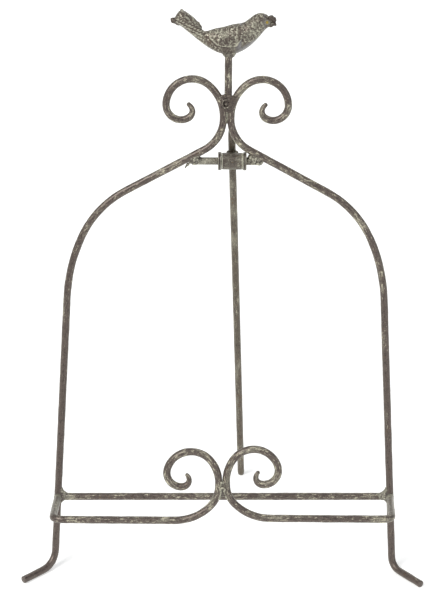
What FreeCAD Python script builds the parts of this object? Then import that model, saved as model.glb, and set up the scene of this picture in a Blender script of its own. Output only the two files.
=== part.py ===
import FreeCAD, Part
import math
import os
from FreeCAD import Vector

# Display easel of forged round rod: two scrolled frame rods that lean back, a ledge of two more
# scrolled rods in front, a hinged rear strut and a small cast bird on top.
# Millimetres, +Z up, +X to the viewer's right, +Y to the back. Lengths along a rod are on its centreline.
# "Up the frame" is measured along the leaning frame plane from the floor; "behind" is square to it.

# ---- rod and general fits ----
rod_diameter = 5.0
lean_deg = 15.0               # frame plane from the vertical
touch_gap = 0.05              # between rods laid side by side, closed by the weld
foot_wear = 0.25              # depth worn flat under each foot

# ---- frame rods, from the kiss where they touch down to the feet ----
kiss_height = 321.0
kiss_length = 1.5
throat_radius = 24.0
throat_turn = 62.0
diagonal_length = 61.0
shoulder_radius = 69.5
shoulder_turn = 37.5
haunch_radius = 116.0
haunch_turn = 21.5
foot_length = 29.0            # from the corner with the leg to the cut end
foot_splay = {"left": 45.0, "right": 49.5}      # forward of straight sideways
foot_bend_radius = {"left": 13.0, "right": 9.0}

# ---- scrolls, from the kiss to the tip: radius and turn of each bend ----
top_scroll_bends = ((27.75, 50.5), (17.8, 129.0), (10.25, 123.0), (5.3, 116.5))
ledge_scroll_bends = ((24.0, 40.5), (17.0, 122.5), (9.9, 116.0), (4.8, 127.5))
tip_diameter = 2.9

# ---- ledge ----
rail_height = 53.4            # up the frame
rail_slant = 1.0              # left end lower, right end higher, by this much
ledge_depth = 54.0            # frame plane to the front bars
ledge_half_width = 115.6
ledge_shift = -1.2            # the ledge sits a little to the left
ledge_corner_radius = 6.5
ledge_sweep_bends = ((20.0, 45.0), (34.0, 45.0))
ledge_kiss_length = 2.9

# ---- stem and bird ----
stem_shift = 0.7
stem_above_kiss = 10.0        # its coped lower end, in the fork of the scrolls
stem_length = 36.0
bird_socket_depth = 2.4       # the stem's end in the belly
# bird sections from tail to face: along from the stem, middle above the belly, half height, half width
bird_sections = (
    (-39.2, 22.3, 0.8, 1.5),
    (-35.2, 23.7, 3.4, 4.5),
    (-31.7, 24.0, 5.6, 6.0),
    (-26.7, 20.7, 6.3, 6.0),
    (-21.7, 16.6, 6.1, 4.8),
    (-17.2, 11.6, 4.5, 4.6),
    (-10.7, 10.0, 7.1, 6.3),
    (-3.7, 9.5, 9.1, 7.4),
    (3.3, 10.4, 10.1, 7.8),
    (10.3, 12.5, 9.4, 7.4),
    (16.3, 16.9, 9.3, 6.6),
    (20.3, 19.9, 8.1, 5.8),
    (24.3, 22.1, 5.6, 4.8),
    (27.6, 21.6, 2.9, 2.8),
)
section_corners = 8
beak_length = 7.0
beak_root_radius = 2.3
beak_tip_radius = 0.5
beak_gape_deg = 14.0          # each half, up and down from the middle

# ---- hinge ----
pin_diameter = 5.0
pin_length = 45.0
pin_behind = 3.6              # behind the frame plane
pin_gap = 0.3                 # pin's ends to the undersides of the diagonals, closed by the weld
barrel_diameter = 11.6
barrel_length = 14.8
barrel_shift = 3.8            # barrel centre, to the right
pin_clearance = 0.08          # radial, running
collar_fit = 0.02             # radial, the collars are driven on
collar_diameter = 12.8
collar_width = 2.1
collar_clearance = 0.3        # beside the barrel

# ---- strut ----
strut_lean_deg = 8.6          # from the vertical
strut_tilt_deg = 1.9          # its foot leans to the right
strut_above_pin = 25.0
stop_gap = 0.3                # strut's ground stop face to the backs of the frame rods

# ---- weld beads: how far each puddle stands proud of the rods, and small beads' radii ----
ledge_weld_proud = 0.9
pin_weld_proud = 1.2
crown_weld_proud = 2.1
bird_weld_proud = 1.7
ledge_kiss_weld_proud = 0.2
seam_weld_radius = 1.7
strut_weld_radius = 2.2
weld_step = 2.2               # between puddles of one bead

rod_radius = rod_diameter / 2
pin_radius = pin_diameter / 2
barrel_radius = barrel_diameter / 2
collar_radius = collar_diameter / 2
tip_radius = tip_diameter / 2
foot_axis_height = rod_radius - foot_wear
stem_bottom = kiss_height + stem_above_kiss
stem_top = stem_bottom + stem_length
bird_seat = stem_top - bird_socket_depth
side_sign = {"left": -1, "right": 1}
far = 1000.0                  # larger than anything here, for cutting blocks

lean = math.radians(lean_deg)
across = Vector(1, 0, 0)
up_frame = Vector(0, math.sin(lean), math.cos(lean))
behind = Vector(0, math.cos(lean), -math.sin(lean))


def on_frame(x, height, back=0.0):
    """World point from its place across, up and behind the frame plane."""
    return across * x + up_frame * height + behind * back


def block_beyond(point, normal):
    """A large block filling the side of a plane that its normal points into."""
    block = Part.makeBox(2 * far, 2 * far, far, Vector(-far, -far, 0))
    block.Placement = FreeCAD.Placement(point, FreeCAD.Rotation(Vector(0, 0, 1), normal))
    return block


def ball(centre, radius):
    return Part.makeSphere(radius, centre, behind)


def join(shapes):
    joined = shapes[0]
    for shape in shapes[1:]:
        joined = joined.fuse(shape)
    return joined.removeSplitter()


def trim(shape, *tools):
    """Cope a shape round its neighbours and keep the largest piece."""
    for tool in tools:
        shape = shape.cut(tool)
    return max(shape.Solids, key=lambda solid: solid.Volume)


class Bender:
    """Bends a centreline step by step, as a smith bends a rod."""

    def __init__(self, point, heading):
        self.start = point
        self.start_heading = heading
        self.point = point
        self.heading = heading
        self.edges = []

    def straight(self, length):
        end = self.point + self.heading * length
        self.edges.append(Part.LineSegment(self.point, end).toShape())
        self.point = end

    def bend(self, radius, turn_deg, axis):
        centre = self.point + axis.cross(self.heading) * radius
        arm = self.point - centre
        middle = FreeCAD.Rotation(axis, turn_deg / 2).multVec(arm) + centre
        end = FreeCAD.Rotation(axis, turn_deg).multVec(arm) + centre
        self.edges.append(Part.Arc(self.point, middle, end).toShape())
        self.point = end
        self.heading = FreeCAD.Rotation(axis, turn_deg).multVec(self.heading)

    def corner(self, corner_point, new_heading, radius):
        """Run straight to a corner and round it towards a new heading."""
        turn = self.heading.getAngle(new_heading)
        tangent = radius * math.tan(turn / 2)
        self.straight((corner_point - self.point).Length - tangent)
        axis = self.heading.cross(new_heading).normalize()
        self.bend(radius, math.degrees(turn), axis)

    def rod(self):
        section = Part.Wire(Part.Circle(self.start, self.start_heading, rod_radius).toShape())
        return Part.Wire(self.edges).makePipeShell([section], True, False)


def scroll(point, outward_axis, bends):
    """A scroll that starts up the frame at a kiss and draws down to a blunt tip."""
    bender = Bender(point, up_frame)
    for radius, turn in bends[:-1]:
        bender.bend(radius, turn, outward_axis)
    curl = bender.rod()
    tip = Bender(bender.point, bender.heading)
    tip.bend(bends[-1][0], bends[-1][1], outward_axis)
    root_section = Part.Wire(Part.Circle(tip.start, tip.start_heading, rod_radius).toShape())
    end_section = Part.Wire(Part.Circle(tip.point, tip.heading, tip_radius).toShape())
    taper = Part.Wire(tip.edges).makePipeShell([root_section, end_section], True, False)
    nose = Part.makeSphere(tip_radius, tip.point, tip.heading, 0, 90, 360)
    return join([curl, taper, nose])


def frame_rod(side):
    """Scroll, throat, diagonal, shoulder, leg and foot, all one rod."""
    sign = side_sign[side]
    outward = behind * sign
    kiss = on_frame(sign * (rod_radius + touch_gap), kiss_height)
    lower = Bender(kiss, up_frame * -1)
    lower.bend(throat_radius, throat_turn, outward * -1)
    lower.straight(diagonal_length)
    lower.bend(shoulder_radius, shoulder_turn, outward)
    lower.bend(haunch_radius, haunch_turn, outward)
    drop = (lower.point.z - foot_axis_height) / -lower.heading.z
    splay = math.radians(foot_splay[side])
    foot_heading = Vector(sign * math.cos(splay), -math.sin(splay), 0)
    corner = lower.point + lower.heading * drop
    lower.corner(corner, foot_heading, foot_bend_radius[side])
    lower.straight(foot_length - (lower.point - corner).Length)
    kiss_bar = Bender(kiss, up_frame)
    kiss_bar.straight(kiss_length)
    upper = scroll(kiss_bar.point, outward, top_scroll_bends)
    whole = join([lower.rod(), kiss_bar.rod(), upper])
    return whole.cut(block_beyond(Vector(0, 0, 0), Vector(0, 0, -1))), corner, foot_heading


def leg_place(corner, side, height):
    """Point on a leg's centreline at a height up the frame."""
    flare = math.tan(math.radians(throat_turn - shoulder_turn - haunch_turn))
    rise = height - corner.dot(up_frame)
    return on_frame(corner.x - side_sign[side] * flare * rise, height)


def ledge_rod(side, leg_point):
    """Arm, rounded corner, front bar, rising sweep and scroll, all one rod."""
    sign = side_sign[side]
    outward = behind * sign
    bar_height = rail_height + sign * rail_slant
    rise = 0.0
    turned = 90.0
    for radius, turn in ledge_sweep_bends:
        next_turned = turned - turn
        rise += radius * (math.cos(math.radians(next_turned)) - math.cos(math.radians(turned)))
        turned = next_turned
    kiss = on_frame(ledge_shift + sign * (rod_radius + touch_gap), bar_height + rise, -ledge_depth)
    lower = Bender(kiss, up_frame * -1)
    for radius, turn in ledge_sweep_bends:
        lower.bend(radius, turn, outward * -1)
    corner = on_frame(ledge_shift + sign * ledge_half_width, bar_height, -ledge_depth)
    arm_heading = (leg_point - corner).normalize()
    lower.corner(corner, arm_heading, ledge_corner_radius)
    lower.straight((leg_point - lower.point).Length)
    kiss_bar = Bender(kiss, up_frame)
    kiss_bar.straight(ledge_kiss_length)
    upper = scroll(kiss_bar.point, outward, ledge_scroll_bends)
    return join([lower.rod(), kiss_bar.rod(), upper]), kiss


# ---- the frame, rail and ledge ----
parts = {}
leg_points = {}
foot_marks = {}
ledge_kisses = {}
for side in ("left", "right"):
    rod, corner, foot_heading = frame_rod(side)
    parts["frame_rod_" + side] = rod
    foot_marks[side] = (corner, foot_heading)
    leg_points[side] = leg_place(corner, side, rail_height + side_sign[side] * rail_slant)

legs = (parts["frame_rod_left"], parts["frame_rod_right"])
rail_heading = (leg_points["right"] - leg_points["left"]).normalize()
rail = Bender(leg_points["left"], rail_heading)
rail.straight((leg_points["right"] - leg_points["left"]).Length)
parts["back_rail"] = trim(rail.rod(), *legs)

for side in ("left", "right"):
    rod, ledge_kisses[side] = ledge_rod(side, leg_points[side])
    parts["ledge_rod_" + side] = trim(rod, *legs, parts["back_rail"])

# ---- the stem that carries the bird ----
stem = Bender(on_frame(stem_shift, stem_bottom), up_frame)
stem.straight(stem_top - stem_bottom)
parts["finial_stem"] = trim(stem.rod(), *legs)


def bird_section(along, middle, half_height, half_width):
    """One closed upright section of the bird, square to its length."""
    points = []
    for index in range(section_corners):
        angle = 2 * math.pi * index / section_corners
        height = bird_seat + middle + half_height * math.sin(angle)
        points.append(on_frame(stem_shift + along, height, half_width * math.cos(angle)))
    curve = Part.BSplineCurve()
    curve.interpolate(Points=points, PeriodicFlag=True)
    return Part.Wire(curve.toShape())


def bird():
    """Small perched bird, cast solid, facing right, with a socket for the stem."""
    body = Part.makeLoft([bird_section(*section) for section in bird_sections], True, False)
    face_along, face_middle = bird_sections[-1][:2]
    face = on_frame(stem_shift + face_along - beak_root_radius / 2, bird_seat + face_middle)
    halves = []
    for gape in (beak_gape_deg, -beak_gape_deg):
        heading = FreeCAD.Rotation(behind * -1, gape).multVec(across)
        halves.append(Part.makeCone(beak_root_radius, beak_tip_radius, beak_length, face, heading))
    return trim(join([body] + halves), parts["finial_stem"])


parts["bird_finial"] = bird()

# ---- hinge: pin and collars on the frame, barrel on the strut ----
def pin_place():
    """Height up the frame at which the pin's ends lie under the diagonals, clear by the pin gap."""
    turn = math.radians(throat_turn)
    diagonal_start = rod_radius + touch_gap + throat_radius * (1 - math.cos(turn))
    along = pin_length / 2 - diagonal_start
    rod_height = kiss_height - throat_radius * math.sin(turn) - along / math.tan(turn)
    apart = math.sqrt((rod_radius + pin_radius + pin_gap) ** 2 - pin_behind ** 2)
    return rod_height - apart / math.sin(turn)


pin_height = pin_place()
pin_centre = on_frame(0, pin_height, pin_behind)
pin_start = pin_centre - across * (pin_length / 2)
pin = Part.makeCylinder(pin_radius, pin_length, pin_start, across)
parts["hinge_pin"] = trim(pin, *legs)
barrel_centre = on_frame(barrel_shift, pin_height, pin_behind)
barrel_start = barrel_centre - across * (barrel_length / 2)


def ring(outer_radius, bore_radius, width, start):
    outside = Part.makeCylinder(outer_radius, width, start, across)
    return outside.cut(Part.makeCylinder(bore_radius, width, start, across))


parts["hinge_barrel"] = ring(barrel_radius, pin_radius + pin_clearance, barrel_length, barrel_start)
for side in ("left", "right"):
    sign = side_sign[side]
    offset = sign * (barrel_length + collar_width) / 2 + sign * collar_clearance - collar_width / 2
    start = barrel_centre + across * offset
    parts["hinge_collar_" + side] = ring(collar_radius, pin_radius + collar_fit, collar_width, start)

# ---- strut: runs across the back of the barrel, stop face ground on its upper end ----
strut_lean = math.radians(strut_lean_deg)
strut_tilt = math.radians(strut_tilt_deg)
strut_back = Vector(0, math.cos(strut_lean), math.sin(strut_lean))
strut_down = Vector(0, math.sin(strut_lean), -math.cos(strut_lean)) * math.cos(strut_tilt)
strut_down = strut_down + across * math.sin(strut_tilt)
strut_contact = barrel_centre + strut_back * (barrel_radius + rod_radius + touch_gap)
strut_below_pin = (strut_contact.z - foot_axis_height) / -strut_down.z
strut_top = strut_contact - strut_down * strut_above_pin
strut_foot = strut_contact + strut_down * strut_below_pin
strut_length = strut_above_pin + strut_below_pin
bar = Part.makeCylinder(rod_radius, strut_length, strut_top, strut_down)
toe = Part.makeSphere(rod_radius, strut_foot, strut_down, 0, 90, 360)
stop_plane = on_frame(0, 0, rod_radius + stop_gap)
floor_block = block_beyond(Vector(0, 0, 0), Vector(0, 0, -1))
parts["strut"] = trim(join([bar, toe]), block_beyond(stop_plane, behind * -1), floor_block)


# ---- welds: puddles of filler, coped round the rods they join ----
def bead(centres, radius):
    return join([ball(centre, radius) for centre in centres])


for side in ("left", "right"):
    sign = side_sign[side]
    leg_point = leg_points[side]
    rail_end = leg_point - across * (sign * rod_radius)
    arm_end = leg_point - behind * rod_radius
    neighbours = legs + (parts["back_rail"], parts["ledge_rod_" + side])
    parts["ledge_weld_" + side] = trim(bead([rail_end, arm_end], rod_radius + ledge_weld_proud), *neighbours)
    pin_end = pin_centre + across * (sign * (pin_length / 2 - rod_radius / 2))
    pin_weld_centre = pin_end + up_frame * rod_radius - behind * (pin_behind / 2)
    pin_weld = ball(pin_weld_centre, rod_radius + pin_weld_proud)
    parts["pin_weld_" + side] = trim(pin_weld, *legs, parts["hinge_pin"])

crown_centre = on_frame(stem_shift, stem_bottom + weld_step, -rod_radius / 2)
crown_centres = [crown_centre - across * weld_step, crown_centre + across * weld_step]
crown_weld = bead(crown_centres, rod_radius + crown_weld_proud)
parts["crown_weld"] = trim(crown_weld, *legs, parts["finial_stem"])

seam = []
for step in range(4):
    seam.append(on_frame(0, kiss_height - weld_step / 2 + step * weld_step, -rod_radius * 0.9))
seam_weld = bead(seam, seam_weld_radius)
parts["scroll_seam_weld"] = trim(seam_weld, *legs, parts["finial_stem"], parts["crown_weld"])

ledge_rods = (parts["ledge_rod_left"], parts["ledge_rod_right"])
ledge_kiss = (ledge_kisses["left"] + ledge_kisses["right"]) * 0.5 - behind * (rod_radius / 2)
ledge_bead = bead([ledge_kiss, ledge_kiss - up_frame * weld_step], rod_radius + ledge_kiss_weld_proud)
parts["ledge_kiss_weld"] = trim(ledge_bead, *ledge_rods)

belly = on_frame(stem_shift, bird_seat)
belly_front = belly - behind * (rod_radius / 2) + up_frame * (weld_step / 2)
belly_weld = bead([belly, belly_front], rod_radius + bird_weld_proud)
parts["bird_weld"] = trim(belly_weld, parts["finial_stem"], parts["bird_finial"])

for side in ("left", "right"):
    seat = barrel_centre + strut_back * (barrel_radius + strut_weld_radius / 2)
    seat = seat + across * (side_sign[side] * rod_radius)
    half_step = strut_down * (weld_step / 2)
    strut_weld = bead([seat - half_step, seat + half_step], strut_weld_radius)
    parts["strut_weld_" + side] = trim(strut_weld, parts["strut"], parts["hinge_barrel"])

# ---- set the origin under the middle of the whole easel and write the parts ----
whole = Part.makeCompound(list(parts.values())).optimalBoundingBox(False)
to_origin = Vector(-(whole.XMin + whole.XMax) / 2, -(whole.YMin + whole.YMax) / 2, -whole.ZMin)
os.makedirs("parts", exist_ok=True)
for name, shape in parts.items():
    shape.translate(to_origin)
    shape.exportStep("parts/" + name + ".step")
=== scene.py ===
import math

import bmesh
import bpy
import numpy as np
from mathutils import Matrix, Vector, noise
from mathutils.bvhtree import BVHTree


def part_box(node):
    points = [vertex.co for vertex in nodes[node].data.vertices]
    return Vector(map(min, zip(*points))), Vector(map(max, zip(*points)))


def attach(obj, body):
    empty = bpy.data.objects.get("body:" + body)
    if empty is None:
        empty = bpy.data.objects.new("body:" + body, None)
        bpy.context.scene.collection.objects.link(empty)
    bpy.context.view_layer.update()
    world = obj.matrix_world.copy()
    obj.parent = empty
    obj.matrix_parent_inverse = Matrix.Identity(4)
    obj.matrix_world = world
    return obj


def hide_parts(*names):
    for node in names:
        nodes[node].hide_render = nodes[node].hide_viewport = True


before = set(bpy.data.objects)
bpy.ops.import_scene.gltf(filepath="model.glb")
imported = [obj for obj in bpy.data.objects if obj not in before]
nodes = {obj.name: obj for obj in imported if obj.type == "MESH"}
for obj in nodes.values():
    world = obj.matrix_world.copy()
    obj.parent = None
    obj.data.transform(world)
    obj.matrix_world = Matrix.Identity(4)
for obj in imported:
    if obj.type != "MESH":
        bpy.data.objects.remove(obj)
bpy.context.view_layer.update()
mm = 0.001

# ---------------------------------------------------------------------------
# The easel stands on a pale floor under soft studio light, and the camera
# looks down on it from the front, square to its leaning frame.

aim = Vector((-1.73, 5.04, 188.44)) * mm
camera_place = Vector((-1.73, -1208.3, 780.2)) * mm
camera_roll = math.radians(0.45)
camera_data = bpy.data.cameras.new("camera")
camera_data.sensor_width = 36
camera_data.lens = 116.64
camera = bpy.data.objects.new("camera", camera_data)
bpy.context.scene.collection.objects.link(camera)
camera.location = camera_place
looking = (aim - camera_place).to_track_quat("-Z", "Y").to_matrix().to_4x4()
camera.rotation_euler = (looking @ Matrix.Rotation(camera_roll, 4, "Z")).to_euler()
bpy.context.scene.camera = camera
bpy.context.scene.view_settings.view_transform = "Standard"

floor_mesh = bpy.data.meshes.new("floor")
floor_mesh.from_pydata([(-6, -4, 0), (6, -4, 0), (6, 9, 0), (-6, 9, 0)], [], [(0, 1, 2, 3)])
floor = bpy.data.objects.new("floor", floor_mesh)
bpy.context.scene.collection.objects.link(floor)
floor_paper = bpy.data.materials.new("floor paper")
floor_paper.use_nodes = True
paper = floor_paper.node_tree.nodes["Principled BSDF"]
paper.inputs["Base Color"].default_value = (0.8, 0.8, 0.795, 1)
paper.inputs["Roughness"].default_value = 0.95
paper.inputs["Specular IOR Level"].default_value = 0.05
paper.inputs["Emission Color"].default_value = (1, 1, 1, 1)
paper.inputs["Emission Strength"].default_value = 0.48
floor_mesh.materials.append(floor_paper)

# The room is white to look at and partly so in reflections, which gives round rods their
# pale edges. As a light it is dimmer, so that their shaded sides stay dark.
world = bpy.data.worlds.new("studio")
bpy.context.scene.world = world
world.use_nodes = True
dim = world.node_tree.nodes["Background"]
dim.inputs["Color"].default_value = (0.93, 0.97, 1.0, 1)
dim.inputs["Strength"].default_value = 0.26
white = world.node_tree.nodes.new("ShaderNodeBackground")
white.inputs["Color"].default_value = (1, 1, 1, 1)
white.inputs["Strength"].default_value = 1.0
seen = world.node_tree.nodes.new("ShaderNodeLightPath")
choose = world.node_tree.nodes.new("ShaderNodeMixShader")
mirrored = world.node_tree.nodes.new("ShaderNodeMath")
mirrored.operation = "MULTIPLY_ADD"
mirrored.inputs[1].default_value = 0.36
world.node_tree.links.new(seen.outputs["Is Glossy Ray"], mirrored.inputs[0])
world.node_tree.links.new(seen.outputs["Is Camera Ray"], mirrored.inputs[2])
world.node_tree.links.new(mirrored.outputs[0], choose.inputs["Fac"])
world.node_tree.links.new(dim.outputs["Background"], choose.inputs[1])
world.node_tree.links.new(white.outputs["Background"], choose.inputs[2])
world.node_tree.links.new(choose.outputs["Shader"], world.node_tree.nodes["World Output"].inputs["Surface"])


def soft_light(name, direction, strength, spread, colour):
    """A wide lamp far away, which shines the given way over the whole floor."""
    lamp = bpy.data.lights.new(name, "SUN")
    lamp.energy = strength
    lamp.angle = math.radians(spread)
    lamp.color = colour
    holder = bpy.data.objects.new(name, lamp)
    bpy.context.scene.collection.objects.link(holder)
    holder.rotation_euler = Vector(direction).to_track_quat("-Z", "Y").to_euler()


soft_light("key", (0.55, 0.50, -0.85), 2.2, 30, (1.0, 0.985, 0.955))
soft_light("fill", (-0.62, 0.55, -0.42), 0.55, 50, (0.93, 0.96, 1.0))
soft_light("back", (-0.2, -0.75, -0.7), 0.5, 40, (1.0, 1.0, 1.0))

# ---------------------------------------------------------------------------
# The two frame rods are round mild steel, bent cold from the feet up through
# the arch and drawn down to a small hooked tip inside each crown scroll. They
# are left black and rubbed with a pale grey-green patina that wore off again.


def feel_round(tree, point, way):
    """The middle and the radius of the rod where a point lies inside it. Two trials move the middle,
    and the third measures round it."""
    side = way.orthogonal().normalized()
    up = way.cross(side)
    middle = point
    for trial in range(3):
        found = []
        for turn in range(16):
            angle = turn * math.pi / 8
            hit = tree.ray_cast(middle, side * math.cos(angle) + up * math.sin(angle))[0]
            if hit is not None:
                found.append(hit)
        if trial < 2:
            mean = sum(found, Vector()) / len(found)
            middle = middle + (mean - middle) * 2
    return middle, sum((h - middle).length for h in found) / len(found)


def walk(tree, point, way, step):
    """Middles and radii along the inside of a rod, from a point in it to its end."""
    line = []
    while len(line) < 2000:
        middle, radius = feel_round(tree, point, way)
        if line:
            way = (middle - line[-1][0]).normalized()
        line.append((middle, radius))
        ahead = tree.ray_cast(middle, way)[0]
        if ahead is None or (ahead - middle).length < step * 1.2:
            if ahead is not None:
                line.append((ahead, radius))
            return line
        point = middle + way * step


rod_step = 0.8 * mm            # from one place on a centre line to the next
rod_width = 5 * mm
facet_cut = 1.012              # the flats of a faceted round lie inside its true size
fullness = 1.018               # rods read thin beside their bright edges, so they are drawn this much fuller


def rod_line(node, inside, way):
    """The whole centre line of a rod's solid and its radius all along, as two arrays."""
    shape = nodes[node].data
    tree = BVHTree.FromPolygons([v.co for v in shape.vertices], [p.vertices for p in shape.polygons])
    forward = walk(tree, inside, way, rod_step)
    backward = walk(tree, inside, -way, rod_step)
    line = backward[:0:-1] + forward
    places = np.array([p[0] for p in line])
    radii = np.array([p[1] for p in line]) * facet_cut * fullness
    for smoothing in range(6):
        places[1:-1] = (places[:-2] + 2 * places[1:-1] + places[2:]) / 4
        radii[1:-1] = (radii[:-2] + 2 * radii[1:-1] + radii[2:]) / 4
    return places, radii


def add_object(name, mesh, finish):
    """A new smooth-shaded piece with its finish."""
    piece = bpy.data.objects.new(name, mesh)
    bpy.context.scene.collection.objects.link(piece)
    mesh.materials.append(finish)
    for face in mesh.polygons:
        face.use_smooth = True
    return piece


def forged_rod(name, places, radii, finish, seed, ends=(0.5, 0.5), uneven=0.16, sides=28):
    """A round rod swept along its centre line, with the dents and waves of hand bending.
    ends says how much of the radius each end is rounded over."""
    count = len(places)
    ways = np.gradient(places, axis=0)
    ways /= np.linalg.norm(ways, axis=1)[:, None]
    lengths = np.concatenate([[0], np.cumsum(np.linalg.norm(np.diff(places, axis=0), axis=1))])
    side = Vector(ways[0]).orthogonal().normalized()
    rings = []
    for i in range(count):
        way = Vector(ways[i])
        side = (side - way * side.dot(way)).normalized()
        rings.append((Vector(places[i]), way, side.copy(), way.cross(side), radii[i], lengths[i]))

    def rounded(ring, share, outward):
        made = []
        place, way, across, up, radius, length = ring
        for turn in (0.35, 0.7, 0.9):
            lift = math.sin(turn * math.pi / 2) * radius * share
            shrink = 1 - share * (1 - math.cos(turn * math.pi / 2))
            made.append((place + way * outward * lift, way, across, up, radius * shrink,
                         length + outward * lift))
        return made

    def pulled_in(ring, share, outward):
        place, way, across, up, radius, length = ring
        return (place - way * outward * radius * share, way, across, up, radius, length)

    rings[0] = pulled_in(rings[0], ends[0], -1)
    rings[-1] = pulled_in(rings[-1], ends[1], 1)
    rings = rounded(rings[0], ends[0], -1)[::-1] + rings + rounded(rings[-1], ends[1], 1)
    points, along = [], []
    for place, way, across, up, radius, length in rings:
        for k in range(sides):
            angle = 2 * math.pi * k / sides
            out = across * math.cos(angle) + up * math.sin(angle)
            spot = Vector((math.cos(angle) * 2.2, math.sin(angle) * 2.2, length * 1000))
            spot += Vector((seed * 31.7, 0, 0))
            wave = (noise.noise(spot * 0.11) * 0.9 + noise.noise(spot * 0.42) * 0.45
                    + noise.noise(spot * 1.3) * 0.16)
            points.append(place + out * (radius + wave * uneven * mm))
            along.append((math.cos(angle) * 2.5 * mm, math.sin(angle) * 2.5 * mm, length + seed * 0.7))
    faces = []
    for i in range(len(rings) - 1):
        for k in range(sides):
            n = (k + 1) % sides
            faces.append((i * sides + k, i * sides + n, (i + 1) * sides + n, (i + 1) * sides + k))
    faces.append(tuple(range(sides - 1, -1, -1)))
    last = (len(rings) - 1) * sides
    faces.append(tuple(range(last, last + sides)))
    mesh = bpy.data.meshes.new(name)
    mesh.from_pydata(points, [], faces)
    for vertex in mesh.vertices:
        vertex.co.z = max(vertex.co.z, 0)
    run = mesh.attributes.new("along", "FLOAT_VECTOR", "POINT")
    run.data.foreach_set("vector", np.array(along, np.float32).ravel())
    run = mesh.attributes.new("run", "FLOAT", "POINT")
    run.data.foreach_set("value", np.repeat([ring[5] for ring in rings], sides).astype(np.float32))
    return add_object(name, mesh, finish)


# Every metal part of the easel carries the same rubbed patina: olive grey in broad
# patches, cream in short dry strokes where the cloth dragged, and fine rust specks.
patina = bpy.data.node_groups.new("rubbed patina", "ShaderNodeTree")
for title, kind in (("Place", "NodeSocketVector"), ("Metal", "NodeSocketColor"),
                    ("Olive", "NodeSocketColor"), ("Cream", "NodeSocketColor"),
                    ("Cover", "NodeSocketFloat"), ("Strokes", "NodeSocketFloat"),
                    ("Rust", "NodeSocketFloat"), ("Stretch", "NodeSocketFloat")):
    patina.interface.new_socket(title, in_out="INPUT", socket_type=kind)
for title, kind in (("Color", "NodeSocketColor"), ("Roughness", "NodeSocketFloat"),
                    ("Metallic", "NodeSocketFloat"), ("Height", "NodeSocketFloat")):
    patina.interface.new_socket(title, in_out="OUTPUT", socket_type=kind)


class Wiring:
    """Adds shader nodes to a tree. Each input is a value or another node's output."""

    def __init__(self, tree):
        self.tree = tree

    def add(self, kind, inputs=(), **settings):
        node = self.tree.nodes.new("ShaderNode" + kind)
        for name, value in settings.items():
            setattr(node, name, value)
        for name, value in dict(inputs).items():
            if isinstance(value, bpy.types.NodeSocket):
                self.tree.links.new(value, node.inputs[name])
            else:
                node.inputs[name].default_value = value
        return node

    def maths(self, operation, a, b, clamp=False):
        return self.add("Math", {0: a, 1: b}, operation=operation, use_clamp=clamp).outputs[0]

    def plus(self, a, b):
        return self.maths("ADD", a, b)

    def minus(self, a, b):
        return self.maths("SUBTRACT", a, b)

    def times(self, a, b):
        return self.maths("MULTIPLY", a, b)

    def step(self, value, low, high):
        return self.add("MapRange", {"Value": value, "From Min": low, "From Max": high},
                        interpolation_type="SMOOTHSTEP").outputs[0]

    def noise(self, place, scale, detail=3.0, rough=0.55):
        return self.add("TexNoise", {"Vector": place, "Scale": scale, "Detail": detail,
                                     "Roughness": rough}).outputs["Fac"]

    def mix(self, amount, a, b):
        node = self.add("Mix", {0: amount}, data_type="RGBA")
        for socket, value in ((node.inputs[6], a), (node.inputs[7], b)):
            if isinstance(value, bpy.types.NodeSocket):
                self.tree.links.new(value, socket)
            else:
                socket.default_value = value
        return node.outputs[2]


layers = Wiring(patina)
given = patina.nodes.new("NodeGroupInput").outputs
result = patina.nodes.new("NodeGroupOutput").inputs
shorter = layers.add("CombineXYZ", {"X": 1.0, "Y": 1.0, "Z": given["Stretch"]}).outputs[0]
drawn = layers.add("VectorMath", {0: given["Place"], 1: shorter}, operation="MULTIPLY").outputs[0]
broad = layers.noise(given["Place"], 42, 2.0)
patches = layers.noise(drawn, 260, 3.0, 0.6)
strokes = layers.noise(drawn, 1000, 3.0, 0.68)
fine = layers.noise(given["Place"], 1900, 2.0, 0.6)
film_where = layers.plus(layers.times(broad, 0.45), layers.times(patches, 0.55))
film_where = layers.plus(film_where, layers.times(layers.minus(fine, 0.5), 0.30))
film_edge = layers.minus(0.625, layers.times(given["Cover"], 0.24))
film_mask = layers.step(film_where, film_edge, layers.plus(film_edge, 0.16))
stroke_where = layers.plus(layers.times(strokes, 0.62), layers.times(fine, 0.22))
stroke_where = layers.plus(stroke_where, layers.times(layers.plus(broad, patches), 0.17))
stroke_edge = layers.minus(0.722, layers.times(given["Strokes"], 0.18))
stroke_mask = layers.step(stroke_where, stroke_edge, layers.plus(stroke_edge, 0.09))
pit_mask = layers.step(layers.plus(layers.times(fine, 0.5), layers.times(strokes, 0.5)), 0.49, 0.40)
metal = layers.mix(layers.times(pit_mask, 0.7), given["Metal"], (0.022, 0.017, 0.018, 1))
colour = layers.mix(layers.times(film_mask, 0.66), metal, given["Olive"])
colour = layers.mix(layers.times(stroke_mask, 0.85), colour, given["Cream"])
rust_where = layers.plus(layers.noise(given["Place"], 640, 2.0),
                         layers.times(layers.noise(given["Place"], 50, 1.0), 0.45))
rust_mask = layers.times(layers.step(rust_where, 0.875, 0.95), given["Rust"])
colour = layers.mix(rust_mask, colour, (0.13, 0.07, 0.026, 1))
layers.tree.links.new(colour, result["Color"])
cover = layers.maths("MAXIMUM", layers.times(film_mask, 0.7), stroke_mask)
rough = layers.plus(0.36, layers.times(cover, 0.26))
rough = layers.maths("ADD", rough, layers.times(layers.minus(fine, 0.5), 0.3), clamp=True)
layers.tree.links.new(rough, result["Roughness"])
layers.tree.links.new(layers.minus(0.42, layers.times(cover, 0.36)), result["Metallic"])
height = layers.plus(layers.times(stroke_mask, 0.35), layers.times(fine, 0.55))
height = layers.plus(height, layers.times(patches, 0.8))
layers.tree.links.new(height, result["Height"])


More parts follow.
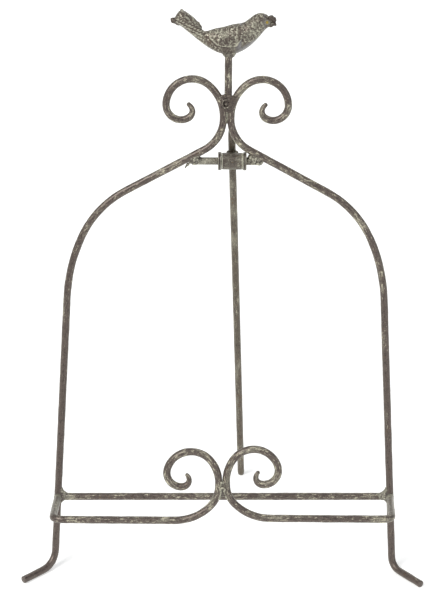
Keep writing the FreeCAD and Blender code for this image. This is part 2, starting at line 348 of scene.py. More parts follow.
# Parts with lumps and edges are painted pale where they stand proud, as painted highlight, and near black in
# their hollows, as painted shade.
relief_highlight_shade = bpy.data.node_groups.new("painted relief highlight and shade", "ShaderNodeTree")
for title, kind in (("Place", "NodeSocketVector"), ("Raised", "NodeSocketFloat"),
                    ("Under", "NodeSocketColor"), ("Painted Highlight", "NodeSocketColor"),
                    ("Painted Shade", "NodeSocketColor"), ("Reach", "NodeSocketFloat")):
    relief_highlight_shade.interface.new_socket(title, in_out="INPUT", socket_type=kind)
relief_highlight_shade.interface.new_socket("Color", in_out="OUTPUT", socket_type="NodeSocketColor")
layers = Wiring(relief_highlight_shade)
given = relief_highlight_shade.nodes.new("NodeGroupInput").outputs
spots = layers.minus(layers.noise(given["Place"], 900, 3.0, 0.65), 0.5)
painted_relief = layers.plus(layers.maths("DIVIDE", given["Raised"], given["Reach"]), layers.times(spots, 2.6))
colour = layers.mix(layers.times(layers.step(painted_relief, 0.45, 1.15), 0.78), given["Under"], given["Painted Highlight"])
colour = layers.mix(layers.times(layers.step(painted_relief, -0.15, -0.9), 0.8), colour, given["Painted Shade"])
layers.tree.links.new(colour, relief_highlight_shade.nodes.new("NodeGroupOutput").inputs["Color"])


def weathered(name, metal, olive, cream, cover, strokes, rust, stretch=1.0, along=False, bump=0.12 * mm,
              dust=0.38, darkened_from_foot=0.0, reach=0.0, highlight_colour=(0.50, 0.49, 0.385), shade_colour=(0.050, 0.036, 0.034)):
    """A finish of aged metal under the rubbed patina. along follows a rod's own length, dust is how
    much fine dust lies in the patina, darkened_from_foot is how many metres of a rod from its first
    end lose most of their patina, as painted shade, and reach is how many millimetres a lump stands proud
    where it takes the full painted highlight. highlight_colour and shade_colour are the painted highlight
    on lumps and the painted shade in hollows."""
    finish = bpy.data.materials.new(name)
    finish.use_nodes = True
    tree = Wiring(finish.node_tree)
    if along:
        place = tree.add("Attribute", attribute_name="along").outputs["Vector"]
    else:
        place = tree.add("TexCoord").outputs["Object"]
    layer = tree.add("Group", node_tree=patina)
    for title, value in (("Metal", metal), ("Olive", olive), ("Cream", cream)):
        layer.inputs[title].default_value = (*value, 1)
    for title, value in (("Cover", cover), ("Strokes", strokes), ("Rust", rust), ("Stretch", stretch)):
        layer.inputs[title].default_value = value
    # Towards the rod's first end, at the foot, the patina is cut back so the metal shows darker: painted
    # shade against the light from the floor.
    if darkened_from_foot:
        run = tree.add("Attribute", attribute_name="run").outputs["Fac"]
        kept = tree.add("MapRange", {"Value": run, "From Min": 0.05, "From Max": darkened_from_foot, "To Min": 0.2},
                        interpolation_type="SMOOTHSTEP").outputs[0]
        for title, value in (("Cover", cover), ("Strokes", strokes)):
            finish.node_tree.links.new(tree.times(kept, value), layer.inputs[title])
    finish.node_tree.links.new(place, layer.inputs["Place"])
    surface = finish.node_tree.nodes["Principled BSDF"]
    relief = tree.add("Bump", {"Strength": 0.6, "Distance": bump, "Height": layer.outputs["Height"]})
    for title in ("Roughness", "Metallic"):
        finish.node_tree.links.new(layer.outputs[title], surface.inputs[title])
    surface.inputs["Sheen Weight"].default_value = dust
    surface.inputs["Sheen Roughness"].default_value = 0.35
    surface.inputs["Sheen Tint"].default_value = (0.95, 0.96, 0.80, 1)
    painted = layer.outputs["Color"]
    # Lumps take a painted highlight and hollows a painted shade, read from the stored relief.
    if reach:
        relief_paint = tree.add("Group", node_tree=relief_highlight_shade)
        relief_paint.inputs["Reach"].default_value = reach
        relief_paint.inputs["Painted Highlight"].default_value = (*highlight_colour, 1)
        relief_paint.inputs["Painted Shade"].default_value = (*shade_colour, 1)
        raised = tree.add("Attribute", attribute_name="relief").outputs["Fac"]
        for title, value in (("Place", place), ("Raised", raised), ("Under", painted)):
            finish.node_tree.links.new(value, relief_paint.inputs[title])
        painted = relief_paint.outputs["Color"]
    finish.node_tree.links.new(painted, surface.inputs["Base Color"])
    finish.node_tree.links.new(relief.outputs["Normal"], surface.inputs["Normal"])
    return finish


rod_black = (0.122, 0.096, 0.082)
patina_olive = (0.255, 0.24, 0.185)
patina_cream = (0.60, 0.565, 0.42)
rod_finish = weathered("rubbed rod", rod_black, patina_olive, patina_cream,
                       cover=0.56, strokes=0.56, rust=0.35, stretch=0.3, along=True)
# The legs are painted darker towards their feet, as shade.
leg_finish = weathered("rubbed leg", rod_black, patina_olive, patina_cream,
                       cover=0.56, strokes=0.56, rust=0.35, stretch=0.3, along=True, darkened_from_foot=0.32)

# The walk along each frame rod starts in this stretch of its leg, whose two ends are the
# means of a few of its points.
leg_low, leg_high, leg_reach = 90 * mm, 210 * mm, 60 * mm
few = 12
rod_lines = {}
for side, seed in (("left", 1), ("right", 2)):
    node = "frame_rod_" + side
    low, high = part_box(node)
    outer = low.x if side == "left" else high.x
    stretch = sorted((v.co for v in nodes[node].data.vertices
                      if leg_low < v.co.z < leg_high and abs(v.co.x - outer) < leg_reach),
                     key=lambda co: co.z)
    lower = sum(stretch[:few], Vector()) / few
    upper = sum(stretch[-few:], Vector()) / few
    places, radii = rod_line(node, (lower + upper) / 2, (upper - lower).normalized())
    if places[0][2] > places[-1][2]:
        places, radii = places[::-1], radii[::-1]
    rod_lines[node] = places
    rod = forged_rod(node + "_forged", places, radii, leg_finish, seed, ends=(0.22, 0.8))
    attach(rod, "frame")
    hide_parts(node)

# ---------------------------------------------------------------------------
# The back rail ties the two legs below the arch. It is a straight piece of the
# same rod, butted against the legs and welded.

low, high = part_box("back_rail")
places, radii = rod_line("back_rail", (low + high) / 2, Vector((1, 0, 0)))
rod_lines["back_rail"] = places
rail = forged_rod("back_rail_forged", places, radii, rod_finish, 3, ends=(0.1, 0.1))
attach(rail, "frame")
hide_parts("back_rail")

# ---------------------------------------------------------------------------
# Each ledge rod comes forward from a leg, turns in along the front edge and
# sweeps up into a scroll. The two stand against each other in the middle and
# hold the lower edge of what is on show.

front_bar = 70 * mm             # a place along the straight front edge, on either side
half_bar = 2.4 * mm             # about half the rod's thickness, to start the walk inside it
for side, seed in (("left", 4), ("right", 5)):
    node = "ledge_rod_" + side
    low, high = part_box(node)
    across = -front_bar if side == "left" else front_bar
    shape = nodes[node].data
    tree = BVHTree.FromPolygons([v.co for v in shape.vertices], [p.vertices for p in shape.polygons])
    bar_top = tree.ray_cast(Vector((across, low.y + half_bar, 1)), Vector((0, 0, -1)))[0]
    places, radii = rod_line(node, bar_top - Vector((0, 0, half_bar)), Vector((1, 0, 0)))
    if abs(places[0][0]) < abs(places[-1][0]):
        places, radii = places[::-1], radii[::-1]
    rod_lines[node] = places
    rod = forged_rod(node + "_forged", places, radii, rod_finish, seed, ends=(0.1, 0.8))
    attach(rod, "frame")
    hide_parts(node)

# ---------------------------------------------------------------------------
# The finial stem is a short straight rod that stands up between the two crown
# scrolls and carries the bird.

low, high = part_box("finial_stem")
leaning = Vector((0, high.y - low.y - rod_width, high.z - low.z)).normalized()
places, radii = rod_line("finial_stem", (low + high) / 2, leaning)
if places[0][2] > places[-1][2]:
    places, radii = places[::-1], radii[::-1]
rod_lines["finial_stem"] = places
stem = forged_rod("finial_stem_forged", places, radii, rod_finish, 6, ends=(0.1, 0.1))
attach(stem, "frame")
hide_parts("finial_stem")

# ---------------------------------------------------------------------------
# The strut is one long straight rod behind the frame. It folds in about the
# hinge pin, and its lower end is rounded off and stands on the floor.

low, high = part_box("strut")
rising = Vector((low.x - high.x + rod_width, low.y - high.y + rod_width, high.z - low.z)).normalized()
places, radii = rod_line("strut", (low + high) / 2, rising)
if places[0][2] > places[-1][2]:
    places, radii = places[::-1], radii[::-1]
strut_finish = weathered("rubbed strut", (0.125, 0.104, 0.078), patina_olive, patina_cream,
                         cover=0.62, strokes=0.34, rust=0.8, stretch=0.3, along=True)
strut = forged_rod("strut_forged", places, radii, strut_finish, 7, ends=(0.55, 0.5), uneven=0.1)
# The upper end is ground flat where it stops behind the right frame rod. The flat is the
# largest face near that end.
near_end = 17 * mm
stop_room = 0.05 * mm
stop_face = max((face for face in nodes["strut"].data.polygons if face.center.z > high.z - near_end),
                key=lambda face: face.area)
for vertex in strut.data.vertices:
    past = (vertex.co - stop_face.center).dot(stop_face.normal) + stop_room
    if past > 0:
        vertex.co -= stop_face.normal * past
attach(strut, "strut_leg")
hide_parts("strut")

# ---------------------------------------------------------------------------
# The hinge is a turned steel barrel on a plain pin between two loose-looking
# collars. The barrel turns with the strut, and the rest is fixed to the frame.

# The hinge's raised parts carry a painted highlight and its hollows a painted shade.
hinge_finish = weathered("hinge steel", (0.11, 0.092, 0.075), (0.20, 0.19, 0.15), (0.45, 0.43, 0.33),
                         cover=0.6, strokes=0.36, rust=0.5, reach=0.12)


def keep_relief(mesh, rounds=14):
    """Stores how far each point stands proud of its surroundings, in millimetres, for the painted highlight
    and shade of the finish.
    """
    count = len(mesh.vertices)
    places = np.empty(count * 3)
    mesh.vertices.foreach_get("co", places)
    places = places.reshape(-1, 3)
    ends = np.empty(len(mesh.edges) * 2, int)
    mesh.edges.foreach_get("vertices", ends)
    ends = ends.reshape(-1, 2)
    smooth = places.copy()
    meeting = np.bincount(ends.ravel(), minlength=count)[:, None]
    for smoothing in range(rounds):
        total = np.zeros_like(smooth)
        np.add.at(total, ends[:, 0], smooth[ends[:, 1]])
        np.add.at(total, ends[:, 1], smooth[ends[:, 0]])
        smooth = (smooth + total / meeting) / 2
    outs = np.array([v.normal for v in mesh.vertices])
    relief = ((places - smooth) * outs).sum(axis=1) / mm
    kept = mesh.attributes.new("relief", "FLOAT", "POINT")
    kept.data.foreach_set("value", (relief - np.median(relief)).astype(np.float32))


def turned(name, middle, profile, finish, seed, uneven=0.1, sides=72):
    """A part turned about a line along X. profile gives pairs of distance and radius, closed on itself."""
    points, faces = [], []
    for run, radius in profile:
        for k in range(sides):
            angle = 2 * math.pi * k / sides
            out = Vector((0, math.cos(angle), math.sin(angle)))
            spot = Vector((run * 1000, out.y * 5, out.z * 5 + seed * 17))
            wave = noise.noise(spot * 0.25) + noise.noise(spot * 0.9) * 0.45
            points.append(middle + Vector((run + wave * uneven * 0.6 * mm, 0, 0))
                          + out * (radius + wave * uneven * mm))
    count = len(profile)
    for i in range(count):
        j = (i + 1) % count
        for k in range(sides):
            n = (k + 1) % sides
            faces.append((i * sides + k, j * sides + k, j * sides + n, i * sides + n))
    mesh = bpy.data.meshes.new(name)
    mesh.from_pydata(points, [], faces)
    keep_relief(mesh, 4)
    return add_object(name, mesh, finish)


def tube_profile(half, outer, inner, round_over, steps=5, cells=1.0 * mm):
    """The closed outline of a turned tube with rounded outer edges."""
    rim = []
    for k in range(steps + 1):
        angle = math.pi / 2 * k / steps
        rim.append((half - round_over * (1 - math.sin(angle)), outer - round_over * (1 - math.cos(angle))))
    rim = rim[::-1]
    flat = max(1, int(2 * (half - round_over) / cells))
    top = [(-half + round_over + 2 * (half - round_over) * k / flat, outer) for k in range(1, flat)]
    left = [(-run, radius) for run, radius in rim][::-1]
    bore = [(half - 2 * half * k / 4, inner) for k in range(5)]
    return top + rim + bore + left


low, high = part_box("hinge_barrel")
middle = (low + high) / 2
pin_low, pin_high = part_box("hinge_pin")
pin_radius = (pin_high.z - pin_low.z) / 2
half, outer = (high.x - low.x) / 2, (high.z - low.z) / 2
bore_room = 0.3 * mm            # the barrel turns freely on the pin
barrel = turned("hinge_barrel_turned", middle, tube_profile(half, outer, pin_radius + bore_room, 0.3 * mm),
                hinge_finish, 1, uneven=0.09)
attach(barrel, "strut_leg")
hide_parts("hinge_barrel")

slack = 0.2 * mm                # each collar reaches this much nearer to the barrel than its solid
for side, seed in (("left", 2), ("right", 3)):
    node = "hinge_collar_" + side
    low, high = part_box(node)
    half, outer = (high.x - low.x) / 2 + slack / 2, (high.z - low.z) / 2
    inner_side = 1 if side == "left" else -1
    collar = turned(node + "_turned", (low + high) / 2 + Vector((inner_side * slack / 2, 0, 0)),
                    tube_profile(half, outer, pin_radius, 0.5 * mm, cells=0.5 * mm), hinge_finish,
                    seed, uneven=0.12)
    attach(collar, "frame")
    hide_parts(node)

places, radii = rod_line("hinge_pin", (pin_low + pin_high) / 2, Vector((1, 0, 0)))
rod_lines["hinge_pin"] = places
pin_finish = weathered("hinge pin", (0.135, 0.115, 0.09), (0.31, 0.30, 0.24), (0.60, 0.57, 0.45),
                       cover=1.0, strokes=0.6, rust=0.3, along=True)
pin = forged_rod("hinge_pin_rod", places, radii, pin_finish, 8, ends=(0.3, 0.3), uneven=0.06)
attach(pin, "frame")
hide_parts("hinge_pin")

# ---------------------------------------------------------------------------
# The welds are beads of filler run along each joint and left as they froze:
# lumps, ripples and a filled-in corner. Their lumps carry a painted highlight and their hollows a painted
# shade.

weld_finish = weathered("weld metal", (0.12, 0.098, 0.080), (0.29, 0.285, 0.225), (0.58, 0.555, 0.43),
                        cover=1.0, strokes=0.56, rust=0.4, reach=0.12, highlight_colour=(0.56, 0.54, 0.42))
kiss_finish = weathered("ledge kiss metal", (0.12, 0.10, 0.08), (0.30, 0.295, 0.23), (0.62, 0.59, 0.46),
                        cover=1.0, strokes=0.6, rust=0.3, reach=0.09, highlight_colour=(0.62, 0.59, 0.46))
seam_finish = weathered("seam metal", (0.12, 0.10, 0.08), (0.31, 0.305, 0.24), (0.60, 0.58, 0.46),
                        cover=1.1, strokes=0.6, rust=0.3, reach=0.14)
pool_finish = weathered("crown weld metal", (0.105, 0.083, 0.066), (0.17, 0.15, 0.115), (0.5, 0.48, 0.37),
                        cover=0.45, strokes=0.34, rust=0.4, reach=0.15)


def fused(name, shape, grain, rounds):
    """One closed skin round everything in a bmesh, made in cells of the given grain and then smoothed."""
    mesh = bpy.data.meshes.new(name)
    shape.to_mesh(mesh)
    shape.free()
    piece = bpy.data.objects.new(name, mesh)
    bpy.context.scene.collection.objects.link(piece)
    join = piece.modifiers.new("join", "REMESH")
    join.mode = "VOXEL"
    join.voxel_size = grain
    soften = piece.modifiers.new("soften", "SMOOTH")
    soften.factor = 0.5
    soften.iterations = rounds
    skin = bpy.data.meshes.new_from_object(piece.evaluated_get(bpy.context.evaluated_depsgraph_get()))
    bpy.data.objects.remove(piece)
    return skin


def frozen(name, drops, finish, seed, grain=0.34 * mm, melt=5, ripple=0.2 * mm):
    """Melts many drops, each a middle and a radius, into one lump with a rough skin."""
    shape = bmesh.new()
    for place, radius in drops:
        bmesh.ops.create_icosphere(shape, subdivisions=2, radius=radius, matrix=Matrix.Translation(place))
    melted = fused(name + "_drops", shape, grain, melt)
    melted.name = name
    outs = [v.normal.copy() for v in melted.vertices]
    for vertex, out in zip(melted.vertices, outs):
        spot = vertex.co * 1000 + Vector((seed * 13.1, 0, 0))
        vertex.co += out * (noise.noise(spot * 0.55) * 0.8 + noise.noise(spot * 1.5) * 0.45 + 0.2) * ripple
    keep_relief(melted)
    return add_object(name, melted, finish)


def on_line(line, joint, way, distance):
    """The point this far along a rod's line from where it passes nearest a joint, going the given way."""
    places = rod_lines[line]
    near = int(np.argmin(np.linalg.norm(places - np.array(joint), axis=1)))
    ahead = Vector(places[min(near + 1, len(places) - 1)]) - Vector(places[max(near - 1, 0)])
    turn = 1 if ahead.dot(way) > 0 else -1
    index = near + turn * int(round(distance / rod_step))
    return Vector(places[max(0, min(index, len(places) - 1))])


def strand(line, joint, way):
    """on_line for one rod, joint and way, as a function of distance alone."""
    return lambda distance: on_line(line, joint, way, distance)


def web(first, second, reach, thick, steps=8):
    """Filler that hollows into the corner between two rods, like strings drawn from one to the other.
    first and second each give the point a distance from the joint, and reach is how far each goes."""
    drops = []
    for k in range(steps + 1):
        a, b = first(reach[0] * (1 - k / steps)), second(reach[1] * k / steps)
        count = max(2, int((b - a).length / (thick * 0.7)) + 1)
        drops += [(a.lerp(b, i / count), thick) for i in range(count + 1)]
    return drops


up, down = Vector((0, 0, 1)), Vector((0, 0, -1))
for side, inward, seed in (("left", Vector((1, 0, 0)), 1), ("right", Vector((-1, 0, 0)), 2)):
    node, leg, ledge = "ledge_weld_" + side, "frame_rod_" + side, "ledge_rod_" + side
    joint = Vector(rod_lines["back_rail"][0 if side == "left" else -1])
    forward = Vector((0, -1, -0.2))
    drops = []
    for k in range(9):
        t = k * 0.8 * mm
        drops.append((on_line(leg, joint, up, t), 2.75 * mm - 0.035 * t * k))
        drops.append((on_line(leg, joint, down, t * 0.7), 2.7 * mm - 0.03 * t * k))
        drops.append((on_line("back_rail", joint, inward, t * 1.1), 2.95 * mm - 0.06 * t))
        drops.append((on_line(ledge, joint, forward, t * 0.8), 2.85 * mm - 0.05 * t))
    leg_up, leg_down = strand(leg, joint, up), strand(leg, joint, down)
    rail_in = strand("back_rail", joint, inward)
    drops += web(leg_up, rail_in, (10.6 * mm, 8.8 * mm), 1.8 * mm)
    drops += web(leg_down, rail_in, (7.0 * mm, 9.4 * mm), 1.6 * mm)
    lump = leg_up(4.2 * mm).lerp(rail_in(4.4 * mm), 0.55)
    drops.append((lump + Vector((0, -1.0, 0)) * mm, 1.25 * mm))
    weld = frozen(node + "_bead", drops, weld_finish, seed)
    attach(weld, "frame")
    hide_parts(node)

# Where the crown scrolls meet under the stem, one thick pool of filler closes the gap.
# It froze with a ringed crater and a torn upper edge, and a thin bead runs on down the seam.
rising = (Vector(rod_lines["finial_stem"][-1]) - Vector(rod_lines["finial_stem"][0])).normalized()
facing = Vector((1, 0, 0)).cross(rising)
stem_foot = Vector(rod_lines["finial_stem"][0])
stem_top = Vector(rod_lines["finial_stem"][-1])


def from_point(origin, across, up, out):
    """A point in the leaning frame's own directions, in millimetres from an origin."""
    return origin + (Vector((1, 0, 0)) * across + rising * up + facing * out) * mm


pool = [(-3.6, 4.6, 0.6, 2.0), (-1.6, 5.2, 1.4, 2.0), (1.0, 5.0, 1.9, 1.9), (3.4, 4.4, 1.6, 1.9),
        (-3.2, 2.4, 1.2, 2.2), (-0.8, 2.2, 1.5, 2.2), (1.8, 2.4, 1.9, 2.2), (4.0, 2.2, 1.4, 2.0),
        (-3.0, 0.0, 1.2, 2.2), (-0.6, 0.0, 1.4, 2.3), (1.8, 0.2, 1.8, 2.2), (3.6, -0.4, 1.1, 1.9),
        (-2.6, -2.4, 1.0, 2.0), (-0.6, -2.6, 1.2, 2.1), (1.4, -2.4, 1.3, 2.1), (-1.2, -4.4, 0.9, 1.8),
        (0.2, -4.6, 0.8, 1.8), (1.6, 4.6, -1.2, 2.0), (-1.8, 3.4, -1.4, 2.0), (0, 0.6, -1.6, 2.2)]
drops = [(from_point(stem_foot, x, y, z), r * mm) for x, y, z, r in pool]
for k in range(14):
    lift = 0.35 * noise.noise(Vector((k * 2.3, 5.1, 0)))
    torn = from_point(stem_foot, -3.9 + 0.66 * k, 5.9 + lift - 0.04 * k,
                      1.5 + 0.9 * math.sin(k / 13 * math.pi))
    drops.append((torn, (0.62 + 0.25 * (k % 2)) * mm))
crater, crater_radius = (-0.7, 0.4, 3.55), 2.7
for k in range(22):
    angle = 2 * math.pi * k / 22
    wide = crater_radius + 0.12 * math.sin(3 * angle + 1)
    ring = from_point(stem_foot, crater[0] + wide * math.cos(angle), crater[1] + wide * math.sin(angle),
                      crater[2] - 0.12 * math.cos(angle))
    drops.append((ring, 0.62 * mm))
drops.append((from_point(stem_foot, crater[0], crater[1] + 0.1, crater[2] + 0.25), 1.15 * mm))
weld = frozen("crown_weld_pool", drops, pool_finish, 3, grain=0.26 * mm, melt=2, ripple=0.12 * mm)
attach(weld, "frame")
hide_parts("crown_weld")

drops = []
for k in range(15):
    below = -4.6 - 0.62 * k
    left = on_line("frame_rod_left", stem_foot + rising * below * mm, rising, 0)
    right = on_line("frame_rod_right", stem_foot + rising * below * mm, rising, 0)
    between = left.lerp(right, 0.5) + rising * noise.noise(Vector((k * 1.7, 0, 0))) * 0.2 * mm
    drops.append((between + facing * (1.1 - 0.05 * k) * mm, (1.1 + 0.16 * (k % 2) - 0.042 * k) * mm))
    drops.append((between - facing * 1.0 * mm, (1.1 - 0.042 * k) * mm))
weld = frozen("scroll_seam_bead", drops, seam_finish, 4, grain=0.26 * mm, melt=3, ripple=0.1 * mm)
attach(weld, "frame")
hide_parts("scroll_seam_weld")

# The two ledge scrolls are welded in front where they touch. The filler spread down
# into the fork below as a hooded web with a bead along each rod.
low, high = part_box("ledge_kiss_weld")
kiss = (low + high) / 2
drops = []
for k in range(-6, 15):
    t = k * 0.6 * mm
    way = up if t < 0 else down
    left = on_line("ledge_rod_left", kiss, way, abs(t))
    right = on_line("ledge_rod_right", kiss, way, abs(t))
    gap = (right - left).length / mm
    out = Vector((0, -1, 0.26)).normalized()
    thick = 1.25 if k < 0 else 1.25 + 0.02 * k
    if k <= 9:
        for share in (0.36, 0.5, 0.64):
            drops.append((left.lerp(right, share) + out * (1.2 - 0.05 * k) * mm, thick * mm))
    if k >= 1:
        lift = 2.35 * mm
        for share, odd in ((2.0 / gap, k % 2), (1 - 2.0 / gap, (k + 1) % 2)):
            drops.append((left.lerp(right, share) + out * lift * (1 - 0.03 * k), (0.72 + 0.14 * odd) * mm))
for k in range(7):
    angle = math.pi * k / 6
    hood = Vector((math.cos(angle) * 1.5 * mm, -2.9 * mm, (math.sin(angle) * 1.3 - 0.2) * mm))
    drops.append((kiss + hood, 0.7 * mm))
weld = frozen("ledge_kiss_web", drops, kiss_finish, 5, grain=0.26 * mm, melt=3, ripple=0.12 * mm)
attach(weld, "frame")
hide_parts("ledge_kiss_weld")

# The hinge pin's two ends are welded under the frame rods, with more filler than
# they need. One drop of spatter hangs on at the left.
for side, seed in (("left", 6), ("right", 7)):
    node, leg = "pin_weld_" + side, "frame_rod_" + side
    end = Vector(rod_lines["hinge_pin"][0 if side == "left" else -1])
    inward = Vector((1, 0, 0)) if side == "left" else Vector((-1, 0, 0))
    joint = on_line(leg, end, up, 0)
    drops = []
    for k in range(10):
        t = k * 0.8 * mm
        drops.append((on_line("hinge_pin", end, inward, t * 0.8), (2.9 - 0.075 * k) * mm))
        drops.append((on_line(leg, joint, -inward, t * (1.2 if side == "left" else 0.9)) - facing * 0.5 * mm,
                      (2.45 - 0.06 * k) * mm))
        drops.append((on_line(leg, joint, inward, t * 0.6) - facing * 0.4 * mm, (2.5 - 0.05 * k) * mm))
    reach = 6.0 if side == "left" else 10.4
    drops += web(strand(leg, joint, inward), strand("hinge_pin", end, inward),
                 (reach * mm, reach * mm), (2.0 if side == "left" else 2.3) * mm)
    if side == "left":
        lumps = [(-0.6, 0.8, 2.6, 1.5), (1.4, 0.3, 2.9, 1.3), (-2.4, -0.6, 2.0, 1.4), (0.6, -1.5, 2.4, 1.2),
                 (-4.2, -2.4, 0.9, 1.2), (-5.0, -3.3, 0.6, 0.75), (-5.5, -4.1, 0.5, 0.6),
                 (-5.9, -4.8, 0.5, 0.5), (-1.8, 2.2, 4.6, 1.5), (0.6, 3.0, 4.8, 1.4),
                 (2.4, 3.6, 4.6, 1.2), (0.2, 1.4, 4.6, 1.4), (1.8, 1.6, 4.0, 1.3),
                 (-3.2, 1.2, 4.4, 1.2), (2.6, 1.0, 2.6, 1.5)]
    else:
        lumps = [(-5.6, 1.6, 2.2, 1.6), (-3.0, 0.8, 2.7, 1.6), (-1.4, -0.9, 2.6, 1.5), (-4.6, -0.9, 2.3, 1.5),
                 (-0.4, 1.2, 2.3, 1.5), (-6.4, 3.0, 1.2, 1.9), (-4.6, 3.6, 1.2, 1.9), (-2.4, 2.6, 1.6, 1.8),
                 (-4.4, 1.8, 4.2, 1.4), (-2.6, 2.0, 4.4, 1.4), (-0.8, 1.6, 4.2, 1.4), (-3.6, 0.4, 4.0, 1.3),
                 (-6.2, 2.8, 3.4, 1.2)]
    drops += [(from_point(end, x, y, z), r * mm) for x, y, z, r in lumps]
    weld = frozen(node + "_lump", drops, weld_finish, seed, grain=0.3 * mm, melt=3, ripple=0.26 * mm)
    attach(weld, "frame")
    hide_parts(node)

# The strut is tacked to the barrel on both sides.
for side, seed in (("left", 8), ("right", 9)):
    node = "strut_weld_" + side
    low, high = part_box(node)
    middle, size = (low + high) / 2, high - low
    drops = [(middle + Vector((0, 0, size.z * share * 0.5)), size.x * 0.5 * (1 - 0.35 * abs(share)))
             for share in (-0.8, -0.4, 0, 0.4, 0.8)]
    drops += [(middle + Vector((0, size.y * share * 0.4, 0)), size.x * 0.42) for share in (-1, 1)]
    weld = frozen(node + "_tack", drops, weld_finish, seed, grain=0.26 * mm, melt=3, ripple=0.15 * mm)
    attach(weld, "strut_leg")
    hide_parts(node)

# The bird is held to the stem by a collar of filler run round the joint.
collar = [(-2.2, -1.6, 1.0, 2.2), (0.2, -2.2, 1.6, 2.3), (2.6, -1.2, 1.3, 2.4), (4.0, 0.4, 0.8, 2.0),
          (-2.6, 0.4, 0.8, 2.2), (0.4, 0.2, 2.2, 2.2), (2.6, 1.2, 1.8, 2.0), (-1.6, -2.8, -0.2, 1.8),
          (1.4, -3.4, 0.4, 1.7), (2.8, -2.8, 0.0, 1.6), (0, -1.6, -2.0, 2.2), (2.0, -0.6, -2.0, 2.2),
          (-2.0, 0, -1.6, 2.2), (3.6, -1.6, 1.4, 1.4), (-0.8, 0.0, 3.0, 1.1)]
drops = [(from_point(stem_top, x, y, z), r * mm) for x, y, z, r in collar]
weld = frozen("bird_weld_collar", drops, weld_finish, 10, grain=0.3 * mm, melt=4, ripple=0.22 * mm)
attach(weld, "frame")
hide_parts("bird_weld")

# ---------------------------------------------------------------------------
# The finial is a small cast bird with a raised tail, feathers cut into the
# casting, a short open beak and painted eyes. Its feather edges carry a painted
# highlight and its hollows a painted shade, near black.

shape = bmesh.new()
shape.from_mesh(nodes["bird_finial"].data)
added = [(28.3, 22.5, 0.9, 2.0), (28.3, 22.5, -0.9, 2.0), (30.2, 21.8, 0.4, 1.5), (30.2, 21.8, -0.4, 1.5),
         (30.2, 18.5, 0.4, 1.45), (30.2, 18.5, -0.4, 1.45), (28.0, 17.9, 0.8, 2.0), (28.0, 17.9, -0.8, 2.0),
         (-38.3, 20.7, 0.5, 1.6), (-36.6, 20.0, 0.6, 2.1), (-34.4, 19.2, 0.7, 2.4), (-32.3, 26.9, 0, 1.25),
         (-33.2, 25.4, 0, 1.3), (-21.8, 17.6, 0, 2.3), (-20.4, 15.6, 0, 2.2)]
for x, y, z, r in added:
    bmesh.ops.create_icosphere(shape, subdivisions=2, radius=r * mm,
                               matrix=Matrix.Translation(from_point(stem_top, x, y, z)))
cast = fused("bird_blank", shape, 0.36 * mm, 5)
cast.name = "bird_cast"

count = len(cast.vertices)
places = np.empty(count * 3)
cast.vertices.foreach_get("co", places)
places = places.reshape(-1, 3)
outs = np.array([v.normal for v in cast.vertices])
local = (places - np.array(stem_top)) / mm
# In millimetres from the stem's top, u runs along the bird to its beak, v up it and t through it.
u, v, t = local[:, 0], local @ np.array(rising), local @ np.array(facing)
sideways = np.abs(outs @ np.array(facing))


def wobble(scale, seed):
    """Soft noise over the bird, from about -1 to 1."""
    return np.array([noise.noise(Vector((a, b, c)) * scale + Vector((seed * 7.7, 0, 0)))
                     for a, b, c in zip(u, v, t)])


def ease(value, low, high):
    """0 below low, 1 above high and smooth between."""
    share = np.clip((value - low) / (high - low), 0, 1)
    return share * share * (3 - 2 * share)


def depth_inside(outline):
    """How far each point of the bird's side lies inside an outline, in millimetres; below 0 outside it."""
    corners = np.array(outline, float)
    nearest = np.full(count, 1e9)
    crossings = np.zeros(count, int)
    for a, b in zip(corners, np.roll(corners, -1, axis=0)):
        run = b - a
        share = np.clip(((u - a[0]) * run[0] + (v - a[1]) * run[1]) / (run @ run), 0, 1)
        nearest = np.minimum(nearest, np.hypot(u - a[0] - share * run[0], v - a[1] - share * run[1]))
        passes = (a[1] > v) != (b[1] > v)
        with np.errstate(divide="ignore", invalid="ignore"):
            crossings += passes & (u < run[0] * (v - a[1]) / run[1] + a[0])
    return np.where(crossings % 2 == 1, nearest, -nearest)


def feathers(way, length, width, lap, jitter, seed):
    """Overlapping rounded feathers that point along way: 1 at a tip, falling to 0 in the hollow behind it."""
    way = np.array(way) / np.linalg.norm(way)
    along = u * way[0] + v * way[1] + jitter * wobble(0.32, seed)
    across = -u * way[1] + v * way[0] + jitter * wobble(0.32, seed + 1)
    row = np.floor(along / length)
    share = along / length - row
    tip = np.mod(across / width + 0.5 * np.mod(row - 1, 2), 1)
    own = np.mod(across / width + 0.5 * np.mod(row, 2), 1)
    arc = np.sqrt(np.clip(1 - (2 * tip - 1) ** 2, 0, 1))
    over = share < lap * arc
    height = np.where(over, (1 + share) / (1 + lap), share / (1 + lap))
    quill = np.exp(-((np.where(over, tip, own) - 0.5) / 0.09) ** 2)
    return height - 0.18 * quill


rough_cast = wobble(1.1, 1)
broad_cast = wobble(0.35, 2)
wing_outline = [(-15.6, 13.4), (-12.8, 9.0), (-10.6, 6.2), (-7.4, 3.9), (-3.6, 2.9), (2.0, 2.9), (5.6, 3.9),
                (8.2, 7.4), (9.9, 12.0), (9.2, 17.0), (4.0, 22.0), (-9.0, 20.0)]
inside = depth_inside(wing_outline) + 0.35 * broad_cast
wing = ease(inside, -0.15, 0.5)
rim = np.exp(-((inside - 0.35) / 0.5) ** 2) * ease(-v, -11.0, -6.0)
panel = depth_inside([(-6.6, 5.6), (-4.0, 4.9), (3.0, 5.0), (4.6, 6.4), (3.4, 8.6), (-1.0, 9.4), (-5.6, 8.6)])
wing_feathers = feathers((-0.98, 0.2), 3.5, 3.0, 0.42, 1.3, 3)
neck = ease(u, 7.5, 9.5) * (1 - wing) * ease(-u, -25.0, -22.5) * ease(v - 0.62 * u, -3.6, -1.6)
